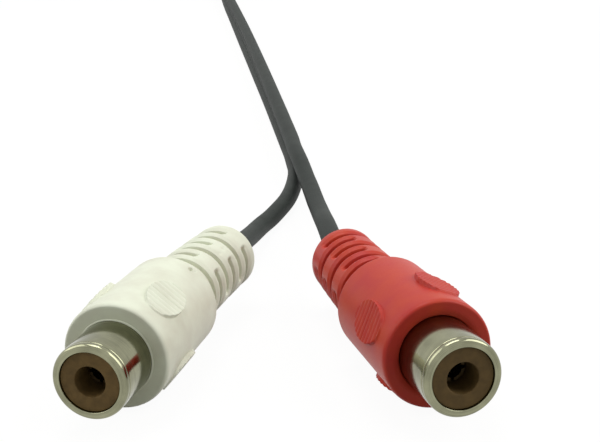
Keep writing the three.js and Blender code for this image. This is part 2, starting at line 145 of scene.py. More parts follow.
class PlugSizes(PropertyGroup):
    """The five-pin plug, measured along its axis from the rim."""

    shell_radius: length("Shell radius", "Outside of the pressed shell", 6.6)
    wall: length("Wall", "Thickness of the shell", 0.45)
    shell_length: length("Shell length", "From the rim to the hidden end", 19.0)
    key_width: length("Key width", "Width of the pressed key", 2.2)
    key_depth: length("Key depth", "How far the key reaches in", 1.15)
    key_start: length("Key start", "Where the key starts", 0.6)
    key_length: length("Key length", "Length of the key", 7.8)
    pin_radius: length("Pin radius", "Radius of a pin", 0.72)
    pin_circle: length("Pin circle", "Radius of the circle that the pins stand on", 3.5)
    pin_start: length("Pin start", "Tip of the pins", 1.0)
    pin_end: length("Pin end", "Soldered end of the pins", 17.0)
    boot_start: length("Boot start", "Front face of the boot", 11.0)
    boot_radius: length("Boot radius", "Radius of the boot", 7.6)
    face_radius: length("Face radius", "Flat part of the boot's front face", 7.1)
    front_round: length("Front round", "Length of the rounding of the front edge", 0.5)
    shoulder: length("Shoulder", "Where the shoulder starts", 30.0)
    shoulder_length: length("Shoulder length", "From the body down to the relief", 3.6)
    relief_radius: length("Relief radius", "Strain relief at the shoulder", 5.3)
    tail_radius: length("Tail radius", "Strain relief at its end", 4.9)
    tail_round: length("Tail round", "Rounding of the relief's end", 0.9)
    boot_end: length("Boot end", "From the rim to the end of the relief", 54.0)
    jacket_end: length("Jacket end", "Where the strands' jackets end", 24.0)
    first_slot: length("First slot", "Middle of the slot next to the shoulder", 36.5)
    slot_pitch: length("Slot pitch", "From slot to slot", 3.2)
    slot_rows: whole("Slot rows", "Rows of slots along the relief", 5)
    slot_width: length("Slot width", "Width of a slot", 1.2)
    slot_depth: length("Slot depth", "Depth of a slot", 0.8)
    first_grip: length("First grip", "Middle of the first grip groove", 15.0)
    grip_pitch: length("Grip pitch", "From groove to groove", 2.2)
    grips: whole("Grips", "Grip grooves on each side", 6)
    grip_width: length("Grip width", "Width of a grip groove", 1.0)
    grip_depth: length("Grip depth", "Depth of a grip groove", 0.5)
    grip_sweep: angle("Grip sweep", "How far a grip groove runs round the boot", 70)


class Finishes(PropertyGroup):
    """Colours of the finishes."""

    ivory: colour("Ivory vinyl", "Boot of the white socket", 0.775, 0.81, 0.655)
    ivory_shade: colour("Ivory shade", "Deeper tone in the ivory vinyl", 0.7, 0.71, 0.57)
    red: colour("Red vinyl", "Boot of the red socket", 0.5, 0.045, 0.018)
    red_shade: colour("Red shade", "Deeper tone in the red vinyl", 0.46, 0.03, 0.024)
    lead: colour("Lead vinyl", "Jacket of the twin lead", 0.029, 0.034, 0.03)
    # The nickel is set darker than bare plating, so its reflection of the white background stands in for a
    # dim room: painted shade in the reflections.
    nickel: colour("Nickel", "Plated shells", 0.32, 0.32, 0.21)
    phenolic: colour("Phenolic", "Insulators of the sockets", 0.15, 0.094, 0.032)
    black: colour("Black moulding", "Boot and insert of the plug", 0.02, 0.021, 0.022)
    brass: colour("Brass", "Contacts and ground lugs", 0.12, 0.085, 0.04)
    copper: colour("Copper", "Screens and crimps", 0.62, 0.28, 0.14)
    milky: colour("Milky moulding", "Inner mouldings of the sockets", 0.68, 0.66, 0.58)


class StageSizes(PropertyGroup):
    """Camera, floor and lamps."""

    camera_place: FloatVectorProperty(
        name="Camera", description="Where the camera stands", default=(0.00318, -0.12808, 0.05736),
        subtype="TRANSLATION", unit="LENGTH",
    )
    camera_pitch: angle("Pitch", "How far the camera looks down", 17.491)
    camera_roll: angle("Roll", "How far the camera is rolled", -2.152)
    lens: FloatProperty(name="Lens", description="Focal length in millimetres", default=72.506, unit="CAMERA")
    floor_size: length("Floor size", "Side of the floor", 6000)
    left_power: power("Left lamp", "Power of the left lamp", 1.68)
    right_power: power("Right lamp", "Power of the right lamp", 2.72)
    top_power: power("Top lamp", "Power of the top lamp", 1.7)
    world_level: FloatProperty(name="Room light", description="Level of the room's own light", default=0.255)


# Where things are


def across(along):
    """The level direction to the right of a direction, and the one that stands up from both."""
    side = np.array([along[1], -along[0], 0.0]) / math.hypot(along[0], along[1])
    return side, np.cross(side, along)


def socket_place(channel):
    """The mouth's middle and the direction from it along the axis. The record's mount lies on the rim's flat
    ring, RIM_RING above the axis."""
    mount = next(m for m in frame["record"]["mounts"] if m["name"] == f"{channel}_rim")
    along = -np.array(mount["axis"], float)
    side, up = across(along)
    return np.array(mount["pos_m"]) - RIM_RING * up, along


def plug_place():
    """The middle of the plug's rim and the direction along its axis."""
    low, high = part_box("plug_shell")
    return np.array([(low.x + high.x) / 2, low.y, (low.z + high.z) / 2]), np.array([0.0, 1.0, 0.0])


RIM_RING = 3.58 * MM  # from a socket's axis to the mount on its rim
# For each socket: the turn of its pads from the top and how far its relief leans to the side
PAD_TURN = {"white": 39, "red": -67}
LEAN = {"white": 0.8 * MM, "red": 0.6 * MM}
# How far each boot's front face stands out round the shell, or falls back where below 0, and over what width
LIP = {"white": (0.1 * MM, 0.16 * MM), "red": (-0.5 * MM, 0.85 * MM)}

# The strands' routes from the boots to where they join: x, y and height of the centre in metres
WHITE_LEG = (
    (-0.0056, 0.02355, 0.00605),
    (-0.00513, 0.02765, 0.00525),
    (-0.00478, 0.03165, 0.00435),
    (-0.00443, 0.03575, 0.00343),
    (-0.00387, 0.04075, 0.00244),
    (-0.00275, 0.04675, 0.00172),
    (-0.00135, 0.05135, 0.0015),
    (-0.00018, 0.05555, 0.00145),
    (0.00095, 0.05995, 0.00145),
    (0.00175, 0.06445, 0.00145),
    (0.00229, 0.06925, 0.00145),
    (0.00265, 0.07425, 0.00145),
    (0.00274, 0.07935, 0.00145),
)
RED_LEG = (
    (0.00767, 0.02203, 0.00604),
    (0.00739, 0.02603, 0.00594),
    (0.00713, 0.03023, 0.0057),
    (0.00683, 0.03503, 0.0053),
    (0.00651, 0.04163, 0.0043),
    (0.00615, 0.04745, 0.00373),
    (0.00575, 0.05245, 0.0035),
    (0.00538, 0.05725, 0.00345),
    (0.00499, 0.06165, 0.00355),
    (0.00451, 0.06585, 0.0038),
    (0.00406, 0.07005, 0.00415),
    (0.00359, 0.07435, 0.00444),
    (0.00307, 0.07915, 0.00455),
)
# The joined pair: x and y of its middle in metres, and its roll in degrees
JOINED = (
    (0.00248, 0.08485, 87),
    (0.00211, 0.09035, 86),
    (0.00147, 0.09735, 84.5),
    (0.00073, 0.10535, 83.5),
    (-0.0001, 0.11435, 82),
    (-0.00104, 0.12435, 81),
    (-0.00217, 0.13635, 79.5),
    (-0.00351, 0.15035, 77),
    (-0.00496, 0.16535, 74),
    (-0.00652, 0.18135, 71.5),
    (-0.00818, 0.19835, 69),
    (-0.00996, 0.21635, 67),
    (-0.01185, 0.23535, 66),
    (-0.01398, 0.25635, 67),
    (-0.01624, 0.27835, 69),
    (-0.01873, 0.30235, 71),
    (-0.02103, 0.32635, 74),
    (-0.02308, 0.35035, 77),
    (-0.02478, 0.37435, 80),
    (-0.02603, 0.39835, 84),
    (-0.02683, 0.42235, 88),
)
FOLD_START = 0.446
FOLD_RADIUS = 0.011
FOLD_STEPS = 8
# From the fold to the plug: y in metres, and the share of the climb to the plug's axis
CLIMB = ((0.438, 0), (0.43, 0.16), (0.422, 0.52), (0.414, 0.88))
STEPS_IN_BOOT = 4
JACKET_START = 21.7 * MM
PLUG_CHAMBER_END = 30 * MM


# Surfaces

MERGE_DISTANCE = 1e-7
NO_LENGTH = 1e-8
CREASE = math.radians(38)


def smooth(low, high, x):
    """0 below low and 1 above high, with t * t * (3 - 2 * t) between them."""
    t = np.clip((x - low) / (high - low), 0, 1)
    return t * t * (3 - 2 * t)


def lines(*stretches):
    """Sorted places from (start, end, step) stretches, each divided evenly."""
    parts = [np.linspace(a, b, max(2, int(round(abs(b - a) / step)) + 1)) for a, b, step in stretches]
    return np.unique(np.concatenate(parts).round(9))


def between(start, end, radial, along):
    """Points between two (radius, along) points, at the given shares of the way."""
    return np.stack([start[0] + (end[0] - start[0]) * radial, start[1] + (end[1] - start[1]) * along], -1)


def round_out(start, end, points):
    """A quarter of an ellipse that leaves across the axis and arrives along it."""
    t = np.linspace(0, math.pi / 2, points)
    return between(start, end, np.sin(t), 1 - np.cos(t))


def round_in(start, end, points):
    """A quarter of an ellipse that leaves along the axis and arrives across it."""
    t = np.linspace(0, math.pi / 2, points)
    return between(start, end, 1 - np.cos(t), np.sin(t))


def outline(start, *stretches):
    """A profile of (radius, along) points: each (way, end, points) stretch goes on from the last point to its
    end."""
    profile = [start]
    for way, end, points in stretches:
        profile.extend(way(profile[-1], end, points)[1:])
    return np.array(profile)


def turn_to_place(local, place):
    """Local points, with the axis along Y and up along Z, laid on a place's axis."""
    origin, along = place
    side, up = across(along)
    return origin + local[..., :1] * side + local[..., 1:2] * along + local[..., 2:] * up


def lathed(profile, count, place):
    """A profile turned round the axis of a place."""
    return turn_to_place(revolved(profile[:, 0], profile[:, 1], full_turn(count)), place)


def revolved(radius, along, turns):
    """A grid round the axis: x = r sin(turn), y = along, z = r cos(turn). radius may differ with the turn."""
    r = np.broadcast_to(radius, (len(turns), len(along)))
    sine, cosine = np.sin(turns)[:, None], np.cos(turns)[:, None]
    return np.stack([r * sine, np.broadcast_to(along, r.shape), r * cosine], -1)


def full_turn(count):
    """Evenly spread turns, the first one not repeated."""
    return np.linspace(0, 2 * math.pi, count, endpoint=False)


def quartered(fine, step, coarse_step):
    """Turns in radians: step degrees apart within fine degrees of each quarter, and coarse_step between."""
    quarter = lines((-fine, fine, step), (fine, 90 - fine, coarse_step))[:-1]
    return np.radians((quarter[None, :] + np.arange(4)[:, None] * 90).ravel())


def quads_of(rows, columns, closed_along):
    """Corner numbers of each quad of a grid that wraps round its rows, and its rows and columns unwrapped for
    its map."""
    column_count = columns if closed_along else columns - 1
    i, j = np.meshgrid(np.arange(rows), np.arange(column_count), indexing="ij")
    i, j = i.ravel(), j.ravel()
    corner_rows = np.stack([i, i + 1, i + 1, i], -1)
    corner_columns = np.stack([j, j, j + 1, j + 1], -1)
    corners = (corner_rows % rows) * columns + corner_columns % columns
    return corners, corner_rows, corner_columns


def mesh_piece(name, grid, closed_along=True):
    """One object from a grid of points, which wraps round its rows, and along its columns where closed_along.
    The map runs round in turns and along in centimetres of the surface. Doubles are merged, and edges sharper
    than CREASE stay sharp."""
    rows, columns = grid.shape[:2]
    corners, corner_rows, corner_columns = quads_of(rows, columns, closed_along)
    steps = np.linalg.norm(np.diff(grid, axis=1, append=grid[:, :1]), axis=-1).mean(0)
    travelled = np.concatenate([[0], np.cumsum(steps)]) / (10 * MM)
    surface = np.stack([corner_rows / rows, travelled[corner_columns]], -1)
    mesh = bpy.data.meshes.new(name)
    mesh.vertices.add(rows * columns)
    mesh.vertices.foreach_set("co", grid.astype(np.float32).ravel())
    mesh.loops.add(corners.size)
    mesh.loops.foreach_set("vertex_index", corners.ravel().astype(np.int32))
    mesh.polygons.add(len(corners))
    mesh.polygons.foreach_set("loop_start", np.arange(0, corners.size, 4, dtype=np.int32))
    mesh.update(calc_edges=True)
    layer = mesh.uv_layers.new(name="surface")
    layer.data.foreach_set("uv", surface.astype(np.float32).ravel())
    work = bmesh.new()
    work.from_mesh(mesh)
    bmesh.ops.remove_doubles(work, verts=work.verts, dist=MERGE_DISTANCE)
    bmesh.ops.dissolve_degenerate(work, edges=work.edges, dist=NO_LENGTH)
    work.to_mesh(mesh)
    work.free()
    mesh.polygons.foreach_set("use_smooth", np.ones(len(mesh.polygons), bool))
    mesh.set_sharp_from_angle(angle=CREASE)
    made = bpy.data.objects.new(name, mesh)
    bpy.context.scene.collection.objects.link(made)
    return made


def skin(solid, grid, slot, material, closed_along=True):
    """The dressed piece that stands for a solid and is named after it."""
    return dress(mesh_piece(f"{solid}_skin", grid, closed_along), slot, material, solid)


def dress(piece, slot, material, *nodes):
    """The piece rides on the part, takes a material, and stands for its nodes. The slot is not used."""
    piece.data.materials.append(material)
    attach(piece, BODY)
    if nodes:
        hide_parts(*nodes)
    return piece


# Boots

# Where a slot's ends fade, in radians from the end of its sweep
SLOT_END = (-0.13, 0.02)
# Where a slot's walls rise and where the rib beside it is rounded, from the slot's edge
SLOT_WALL = (-0.2 * MM, 0.05 * MM)
RIB_ROUND = (-0.05 * MM, 0.7 * MM)
RIB_DROP = 0.24 * MM
# Places for lines beside a slot's edge, in millimetres
EDGE_LINES = (-0.21, -0.16, -0.12, -0.08, -0.04, 0, 0.05, 0.12, 0.2, 0.3, 0.42, 0.56, 0.7)
# Where a pad's edge steps down, as shares of its oval
PAD_STEP = (0.955, 1.01)
PAD_MARGIN = 0.3 * MM  # how far a pad's fine lines go on past its ends
# The socket boot's hidden bores from its tail forwards, radius and place, up to the shell's own bore
BOOT_BORES = np.array([
    (1.43, 30), (1.43, 25.6), (2.5, 25.5), (2.5, 21.4),
    (3.9, 21.3), (3.9, 11.2), (4.45, 11.1), (4.45, 10.3),
]) * MM
SHELL_BORE = (10.1 * MM, 8 * MM)
FIT = 0.02 * MM  # between a shell and its boot
TAIL_FLAT = 3.0 * MM  # radius of the flat part of the socket boot's tail


def spaced(first, pitch, rows):
    """Places a pitch apart."""
    return first + pitch * np.arange(rows)


def shouldered(sizes, body, places):
    """A boot's outside at the places: the body, and from the shoulder on the relief, which tapers to its
    tail."""
    s = sizes
    relief_start = s.shoulder + s.shoulder_length
    along_relief = np.clip((places - relief_start) / (s.boot_end - relief_start), 0, 1)
    relief = s.relief_radius + (s.tail_radius - s.relief_radius) * along_relief
    step = smooth(s.shoulder, relief_start, places)
    return np.stack([body + (relief - body) * step, places], -1)


def slotted(radius, along, turns, rows, sizes, sweep, first_turn):
    """Cuts rows of slots into a boot: each row is a trough across its middle and fades out at the ends of its
    sweep. Odd rows are turned by a quarter. The ribs between them are rounded."""
    half = sizes.slot_width / 2
    for row, middle in enumerate(rows):
        away = np.abs(along - middle)[None, :]
        turned = turns[:, None] - first_turn - (row % 2) * math.pi / 2
        off_centre = np.abs((turned + math.pi / 2) % math.pi - math.pi / 2)
        within = 1 - smooth(sweep / 2 + SLOT_END[0], sweep / 2 + SLOT_END[1], off_centre)
        trough = 1 - smooth(half + SLOT_WALL[0], half + SLOT_WALL[1], away)
        softened = 1 - smooth(half + RIB_ROUND[0], half + RIB_ROUND[1], away)
        radius = radius - within * (sizes.slot_depth * trough + RIB_DROP * softened * (1 - trough))
    return radius


def slot_lines(rows, width):
    """Places along a boot where its slots need lines: close together on their walls."""
    half = width / 2 / MM
    offsets = np.concatenate([[0, 0.25 * half], half + np.array(EDGE_LINES)]) * MM
    return np.concatenate([[middle + offsets, middle - offsets] for middle in rows]).ravel()


def pad_height(radius, along, turns, sizes, pad_turn):
    """Four grip pads: inside an oval the surface is at least as far out as a flat face with ribs across it.
    The oval's edge is a steep step, and the ribs are rounded waves along the boot that end at the oval."""
    off = (turns[:, None] - pad_turn + math.pi / 4) % (math.pi / 2) - math.pi / 4
    aside = sizes.pad_face * np.tan(off)
    down = along[None, :] - sizes.pad_centre
    oval = np.hypot(aside / sizes.pad_half_width, down / sizes.pad_half_length)
    wave = np.abs(np.sin(math.pi * down / sizes.rib_pitch))
    ribs = sizes.rib_height * (np.sqrt(wave) - 1)
    face = (sizes.pad_face + ribs) / np.cos(off)
    inside = 1 - smooth(*PAD_STEP, oval)
    return radius + inside * np.maximum(face - radius, 0)


def dented(radius, along, turns, marks):
    """Small dents, each (turn, place, radius of the dent, depth) with a round bottom."""
    for turn, place, size, depth in marks:
        off = (turns[:, None] - math.radians(turn) + math.pi) % (2 * math.pi) - math.pi
        distance = np.hypot(off * radius, along[None, :] - place)
        radius = radius - depth * (1 - smooth(0, size, distance))
    return radius


# Small dents of the white boot, a nick by its shoulder and a rough spot on its relief: turn in degrees from
# the top, place, size and depth
DENTS = {
    "white": (
        (34.5, 21.25 * MM, 0.42 * MM, 0.6 * MM),
        (39, 21.45 * MM, 0.26 * MM, 0.16 * MM),
        (42, 31.2 * MM, 0.5 * MM, 0.1 * MM),
        (39, 32.6 * MM, 0.45 * MM, 0.12 * MM),
        (44, 33.7 * MM, 0.5 * MM, 0.1 * MM),
    ),
    "red": (),
}


def phono_boot(channel, sizes):
    """A boot's outside from its front face to its tail, and its hidden bores back to the front, as one closed
    surface of revolution whose radius also depends on the turn."""
    s = sizes
    pad_turn = math.radians(PAD_TURN[channel])
    turns = quartered(26, 0.8, 3.2) + pad_turn
    rows = spaced(s.first_slot, s.slot_pitch, s.slot_rows)
    body_start = s.face + s.front_round
    relief_start = s.shoulder + s.shoulder_length
    pad_reach = s.pad_half_length + PAD_MARGIN
    pad_ends = (s.pad_centre - pad_reach, s.pad_centre + pad_reach)
    bore = s.shell_radius + FIT
    lip_height, lip_width = LIP[channel]
    front = outline(
        (bore, s.face - lip_height),
        (round_out if lip_height > 0 else round_in, (bore + lip_width, s.face), 8),
        (np.linspace, (s.face_radius, s.face), 6),
        (round_out, (s.front_radius, body_start), 9),
    )
    relief_places = slot_lines(rows, s.slot_width)
    near_shoulder = s.shoulder - 1.4 * MM
    places = np.concatenate([
        lines((body_start, pad_ends[0], 0.5 * MM), (*pad_ends, 0.1 * MM)),
        lines((pad_ends[1], near_shoulder, 1 * MM), (near_shoulder, s.shoulder, 0.14 * MM)),
        lines((s.shoulder, relief_start, 0.12 * MM)),
        relief_places[(relief_places > relief_start) & (relief_places < s.boot_end - s.tail_round)],
    ])
    places = np.unique(places.round(8))[1:]
    along_body = (places - body_start) / (s.shoulder - body_start)
    body = s.front_radius + (s.rear_radius - s.front_radius) * np.clip(along_body, 0, 1)
    outside = shouldered(s, body, places)
    tail = outline(
        (outside[-1, 0], s.boot_end - s.tail_round),
        (round_in, (TAIL_FLAT, s.boot_end), 9),
        (np.linspace, (BOOT_BORES[0, 0], s.boot_end), 4),
    )
    shell_bore = [(bore, place) for place in SHELL_BORE]
    profile = np.concatenate([front, outside, tail, BOOT_BORES, shell_bore])
    radius, along = profile.T
    shaped = np.broadcast_to(radius, (len(turns), len(radius))).copy()
    shown = slice(len(front), len(front) + len(outside))
    part = pad_height(shaped[:, shown], along[shown], turns, s, pad_turn)
    part = slotted(part, along[shown], turns, rows, s, s.slot_sweep, pad_turn)
    shaped[:, shown] = dented(part, along[shown], turns, DENTS[channel])
    grid = revolved(shaped, along, turns)
    past = np.clip((grid[..., 1] - s.lean_start) / (s.boot_end - s.lean_start), 0, None)
    grid[..., 0] += LEAN[channel] * past**2
    return turn_to_place(grid, socket_place(channel))


# Shells and insulators

BORE_ROUND = 0.07 * MM  # rounding of the shell's bore at the rim
GROOVE_FLOOR = 0.78 * MM  # deepest place of the groove behind the rim
GROOVE_END = 1.05 * MM
INSULATOR_GAP = 0.04 * MM  # between the insulator and the shell's bore
HOLE_ROUND = 0.1 * MM  # rounding of the pin's hole
INSULATOR_EDGE = (0.12 * MM, 0.14 * MM)  # rounding of the insulator's edge, inwards and back


def phono_shell(channel, sizes):
    """The shell as a closed profile turned round the axis: flat ring, rounded rim with a shallow groove
    behind it, outside, end and bore."""
    s = sizes
    floor_radius = s.shell_radius - s.rim_groove
    profile = outline(
        (s.bore_radius, BORE_ROUND),
        (round_in, (s.bore_radius + BORE_ROUND, 0), 4),
        (np.linspace, (s.rim_flat, 0), 4),
        (round_out, (s.shell_radius, s.rim_round), 12),
        (round_in, (floor_radius, GROOVE_FLOOR), 8),
        (round_out, (s.shell_radius, GROOVE_END), 6),
        (np.linspace, (s.shell_radius, s.shell_length), 14),
        (np.linspace, (s.bore_radius, s.shell_length), 2),
        (np.linspace, (s.bore_radius, BORE_ROUND), 6),
    )
    return lathed(profile[:-1], 144, socket_place(channel))


def phono_insulator(channel, sizes):
    """The insulator as a closed profile: the pin's hole, a flat face with rounded edges, and the hidden
    end."""
    s = sizes
    hole, face = s.hole_radius, s.insulator_recess
    edge = s.bore_radius - INSULATOR_GAP
    inwards, back = INSULATOR_EDGE
    profile = outline(
        (hole, s.insulator_end),
        (np.linspace, (hole, face + HOLE_ROUND), 8),
        (round_in, (hole + HOLE_ROUND, face), 5),
        (np.linspace, (edge - inwards, face), 6),
        (round_out, (edge, face + back), 5),
        (np.linspace, (edge, s.insulator_end), 5),
    )
    return lathed(profile, 128, socket_place(channel))


# Plug

SLOT_SWEEP = math.radians(146)
PLUG_TAIL_FLAT = 4.0 * MM  # radius of the flat part of the plug boot's tail
WAY_IN_GAP = 0.05 * MM  # between the pair and the plug boot's way in
WAY_IN_MIDDLE = 42 * MM
# The plug boot's hidden chamber, radius and place, up to the shell's own bore
PLUG_CHAMBER = ((5.6 * MM, PLUG_CHAMBER_END), (5.6 * MM, 19.4 * MM), (6.9 * MM, 19.3 * MM))
PLUG_SHELL_BORE = (19.1 * MM, 14 * MM)
KEY_WALL = 0.35 * MM  # how far the key's side walls slope
KEY_FRONT = 0.5 * MM  # how far its front and end slope
PIN_TIP = 0.7 * MM


def stadium_radius(turns, half_width, half_height):
    """Distance from the middle to an upright stadium's edge, for each turn from the top: the flat sides where
    they are met first, and otherwise the round end of the same width."""
    sine, cosine = np.abs(np.sin(turns)), np.abs(np.cos(turns))
    centre = half_height - half_width
    to_round = centre * cosine + np.sqrt(np.maximum(half_width**2 - (centre * sine) ** 2, 0))
    to_side = half_width / np.maximum(sine, 1e-6)
    return np.where(to_side * cosine < centre, to_side, to_round)


def plug_boot_surface(sizes, lead):
    """The plug's boot: a profile turned round the axis, with grips at the sides and slots in its relief, and
    a stadium-shaped way in for the pair."""
    s = sizes
    turns = quartered(22, 1.25, 2.5)
    slots = spaced(s.first_slot, s.slot_pitch, s.slot_rows)
    grips = spaced(s.first_grip, s.grip_pitch, s.grips)
    bore = s.shell_radius + FIT
    front_end = s.boot_start + s.front_round
    tail_start = s.boot_end - s.tail_round
    front = outline(
        (bore, s.boot_start),
        (np.linspace, (s.face_radius, s.boot_start), 4),
        (round_out, (s.boot_radius, front_end), 8),
    )
    relief_start = s.shoulder + s.shoulder_length
    places = np.concatenate([
        lines((front_end + 0.2 * MM, s.shoulder, 0.9 * MM), (s.shoulder, relief_start, 0.18 * MM)),
        slot_lines(slots, s.slot_width),
        slot_lines(grips, s.grip_width),
    ])
    places = np.unique(places.round(8))
    places = places[(places > front_end + 0.05 * MM) & (places < tail_start - 0.05 * MM)]
    outside = shouldered(s, s.boot_radius, places)
    tail = round_in((outside[-1, 0], tail_start), (PLUG_TAIL_FLAT, s.boot_end), 8)
    way_in = [(0, s.boot_end), (0, WAY_IN_MIDDLE), (0, PLUG_CHAMBER_END)]
    shell_bore = [(bore, place) for place in PLUG_SHELL_BORE]
    profile = np.concatenate([front, outside, tail, way_in, PLUG_CHAMBER, shell_bore])
    radius, along = profile.T
    shaped = np.broadcast_to(radius, (len(turns), len(radius))).copy()
    half_width = lead.strand_radius + WAY_IN_GAP
    way = stadium_radius(turns, half_width, half_width + lead.spacing / 2)
    first = len(front) + len(outside) + len(tail)
    shaped[:, first:first + len(way_in)] = way[:, None]
    shown = slice(len(front), len(front) + len(outside))
    part = slotted(shaped[:, shown], along[shown], turns, slots, s, SLOT_SWEEP, 0)
    shaped[:, shown] = gripped(part, along[shown], turns, grips, s)
    return turn_to_place(revolved(shaped, along, turns), plug_place())


def gripped(radius, along, turns, rows, sizes):
    """Cuts grip grooves into both sides of the plug's boot: rounded troughs that fade out up and down."""
    half = sizes.grip_width / 2
    for middle in rows:
        away = np.abs(along - middle)[None, :]
        off = np.abs(turns[:, None] % math.pi - math.pi / 2)
        within = 1 - smooth(sizes.grip_sweep / 2 - 0.08, sizes.grip_sweep / 2 + 0.04, off)
        trough = 1 - smooth(half - 0.12 * MM, half + 0.1 * MM, away)
        radius = radius - sizes.grip_depth * within * trough
    return radius


def plug_shell_surface(sizes):
    """The pressed shell: a thin tube whose wall is pushed in along the key, inside and outside alike."""
    s = sizes
    key = lines((-24, 24, 0.8), (24, 336, 3))[:-1]
    turns = np.radians(key + 180)
    off = np.abs(turns % (2 * math.pi) - math.pi)
    aside = s.shell_radius * np.sin(np.minimum(off, math.pi / 2))
    key_end = s.key_start + s.key_length
    slope_start, slope_end = key_end - 0.6 * MM, key_end + 0.2 * MM
    places = lines((0.12 * MM, s.key_start, 0.12 * MM), (s.key_start, slope_start, 1 * MM),
                   (slope_start, slope_end, 0.1 * MM), (slope_end, s.shell_length, 1 * MM))
    inner = s.shell_radius - s.wall
    rim = [(inner, 0.1 * MM), (inner + 0.1 * MM, 0),
           (s.shell_radius - 0.12 * MM, 0), (s.shell_radius - 0.04 * MM, 0.04 * MM)]
    outer = np.stack([np.full(len(places), s.shell_radius), places], -1)
    bore = np.stack([np.full(len(places), inner), places[::-1]], -1)
    profile = np.concatenate([rim, outer, bore])
    radius, along = profile.T
    pressed = smooth(0, KEY_FRONT, along) * (1 - smooth(key_end - KEY_FRONT, key_end, along))
    narrow = 1 - smooth(s.key_width / 2 - KEY_WALL, s.key_width / 2, aside)
    shaped = radius[None, :] - s.key_depth * narrow[:, None] * pressed[None, :]
    return turn_to_place(revolved(shaped, along, turns), plug_place())


def pin_surface(sizes, turn):
    """A pin: a rod with a rounded tip, on the pins' half circle."""
    s = sizes
    profile = outline(
        (0, s.pin_start),
        (round_out, (s.pin_radius, s.pin_start + PIN_TIP), 10),
        (np.linspace, (s.pin_radius, s.pin_end), 5),
        (np.linspace, (0, s.pin_end), 2),
    )
    grid = revolved(profile[:, 0], profile[:, 1], full_turn(28))
    grid = grid + np.array([s.pin_circle * math.sin(turn), 0, s.pin_circle * math.cos(turn)])
    return turn_to_place(grid, plug_place())


# Lead

CURVE_STEPS = 40  # from each point of a curve to the next
WEB_STEPS = 430
WEB_TORN_SHARE = 0.02  # share of the web's length over which it grows from the torn end
WEB_TORN_THICKNESS = 0.35  # its share of the full thickness there


def curve_through(points):
    """A centripetal Catmull-Rom curve through the points: each stretch is a cubic whose end slopes come from
    its neighbours, with knots as far apart as the square root of the points' distances."""
    p = np.asarray(points, float)
    p = np.concatenate([[2 * p[0] - p[1]], p, [2 * p[-1] - p[-2]]])
    p0, p1, p2, p3 = p[:-3], p[1:-2], p[2:-1], p[3:]
    d0, d1, d2 = (
        np.sqrt(np.linalg.norm(b - a, axis=1))[:, None]
        for a, b in ((p0, p1), (p1, p2), (p2, p3))
    )
    m1 = d1 * ((p1 - p0) / d0 - (p2 - p0) / (d0 + d1) + (p2 - p1) / d1)
    m2 = d1 * ((p2 - p1) / d1 - (p3 - p1) / (d1 + d2) + (p3 - p2) / d2)
    t = np.linspace(0, 1, CURVE_STEPS, endpoint=False)[None, :, None]
    square = -3 * p1 + 3 * p2 - 2 * m1 - m2
    cube = 2 * p1 - 2 * p2 + m1 + m2
    curve = p1[:, None] + t * (m1[:, None] + t * (square[:, None] + t * cube[:, None]))
    return np.concatenate([curve.reshape(-1, 3), p[-2:-1]])


def evenly(curve, step):
    """The curve's points put an equal distance apart."""
    travelled = np.concatenate([[0], np.cumsum(np.linalg.norm(np.diff(curve, axis=0), axis=1))])
    wanted = np.linspace(0, travelled[-1], int(travelled[-1] / step) + 1)
    return np.stack([np.interp(wanted, travelled, axis) for axis in curve.T], -1)


def pair_route(lead, plug):
    """Middle, roll and lift of the pair from where the strands join to the plug: x, y, roll and lift rows."""
    rim = plug_place()[0]
    centre = rim[0] - FOLD_RADIUS
    joined = [(x, y, math.radians(roll), 0.0) for x, y, roll in JOINED]
    turn = math.pi - np.arange(FOLD_STEPS + 1) * math.pi / FOLD_STEPS
    fold = [
        (centre + FOLD_RADIUS * math.cos(a), FOLD_START + FOLD_RADIUS * math.sin(a), math.pi / 2, 0.0)
        for a in turn
    ]
    rise = rim[2] - lead.lie - lead.spacing / 2
    climb = [(rim[0], y, math.pi / 2, share * rise) for y, share in CLIMB]
    ends = (plug.boot_end, (plug.boot_end + PLUG_CHAMBER_END) / 2, PLUG_CHAMBER_END, plug.jacket_end)
    inside = [(rim[0], rim[1] + along, math.pi / 2, rise) for along in ends]
    return np.array(joined + fold + climb + inside)


def strand_route(channel, sizes, lead, plug):
    """The points that a strand's middle passes: the leaning relief, the leg, the pair and into the plug."""
    origin, axis = socket_place(channel)
    side = across(axis)[0]
    along = np.linspace(JACKET_START, sizes.boot_end, STEPS_IN_BOOT + 1)[:, None]
    past = np.clip((along - sizes.lean_start) / (sizes.boot_end - sizes.lean_start), 0, None)
    in_boot = origin + along * axis + LEAN[channel] * past**2 * side
    leg = WHITE_LEG if channel == "white" else RED_LEG
    x, y, roll, lift = pair_route(lead, plug).T
    half = (-1 if channel == "white" else 1) * lead.spacing / 2
    height = lead.lie + lead.spacing / 2 * np.sin(roll) + lift
    pair = np.stack([x + half * np.cos(roll), y, height + half * np.sin(roll)], -1)
    return np.concatenate([in_boot, leg, pair])


def unit(vectors):
    """The rows made one long."""
    return vectors / np.linalg.norm(vectors, axis=1)[:, None]


def capped(ring, path):
    """A tube's grid with the path's two ends as its closing points."""
    first, last = (np.broadcast_to(path[i], (len(ring), 1, 3)) for i in (0, -1))
    return np.concatenate([first, ring, last], axis=1)


def swept(path, radius, around):
    """A closed tube: a circle carried along the path, in a frame of the path's direction and the Z axis."""
    along = unit(np.gradient(path, axis=0))
    side = unit(np.cross(along, np.array([0, 0, 1.0])))
    up = np.cross(side, along)
    turns = full_turn(around)[:, None, None]
    return capped(path + radius * (np.sin(turns) * side + np.cos(turns) * up), path)


def squared(wave):
    """A sine or cosine flattened at its crests: the root of its size, with its sign."""
    return np.sign(wave) * np.sqrt(np.abs(wave))


